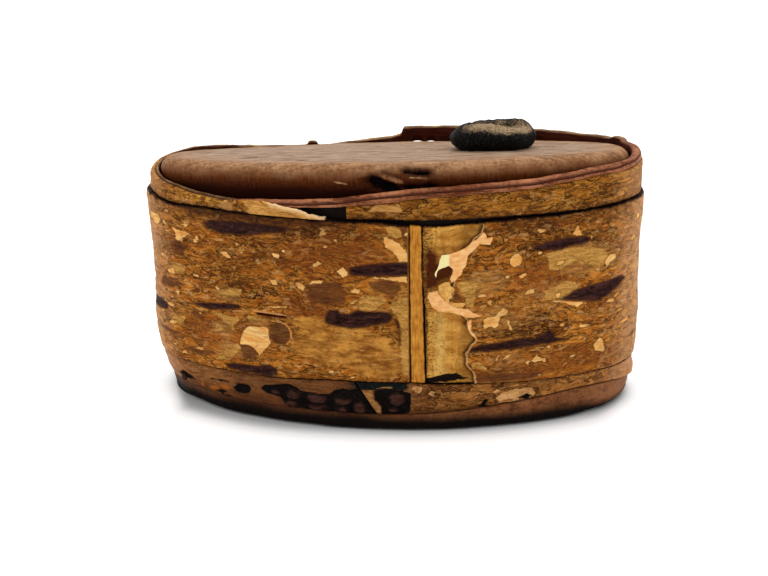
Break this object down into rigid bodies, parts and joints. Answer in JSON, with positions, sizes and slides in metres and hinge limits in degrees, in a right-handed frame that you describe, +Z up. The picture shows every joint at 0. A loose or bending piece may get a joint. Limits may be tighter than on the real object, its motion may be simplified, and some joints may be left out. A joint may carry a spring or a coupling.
{
  "type": "snuff box",
  "caption": "Oval birch-bark snuff box: folded bark tube in a bark jacket seamed at the front, bark hoops, pegged wooden bottom, and a lift-out wooden plug lid with a leather pull.",
  "frame": {"origin": "under the middle of the bottom board, on the surface that the box stands on", "axes": "+X to the right along the box's width, +Y to the back, +Z up; the seamed front faces -Y"},
  "size_m": [0.096, 0.044, 0.0547],
  "materials": {
    "jacket_bark": "flaky outer birch bark with dark lenticels and peeled ochre patches, matt",
    "tube_bark": "smooth red-brown inner bark, satin",
    "hoop_bark": "rough bark band, matt",
    "strip_bark": "smooth ochre under-bark, matt",
    "lid_wood": "weathered grey-brown wood, rubbed smooth",
    "bottom_wood": "plain dry wood",
    "peg_wood": "dark end grain",
    "pull_leather": "black rolled leather, suede worn tan on the crest"
  },
  "bodies": {
    "box": {"inner_tube": "tube_bark", "outer_jacket": "jacket_bark", "seam_strip": "strip_bark", "upper_hoop": "hoop_bark", "lower_hoop": "hoop_bark", "bottom_board": "bottom_wood", "bottom_pegs": "peg_wood"},
    "lid": {"lid_board": "lid_wood", "pull_tails": "pull_leather", "pull_wedge": "peg_wood"},
    "pull": {"pull_loop": "pull_leather"}
  },
  "joints": [
    {"name": "lid_lift", "type": "slide", "parent": "box", "child": "lid", "axis": [0, 0, 1], "range_m": [0, 0.03]},
    {"name": "pull_raise", "type": "hinge", "parent": "lid", "child": "pull", "pos_m": [0.01921, 0.00314, 0.05157], "axis": [-0.9998, 0, -0.0174], "range_deg": [0, 75]}
  ]
}
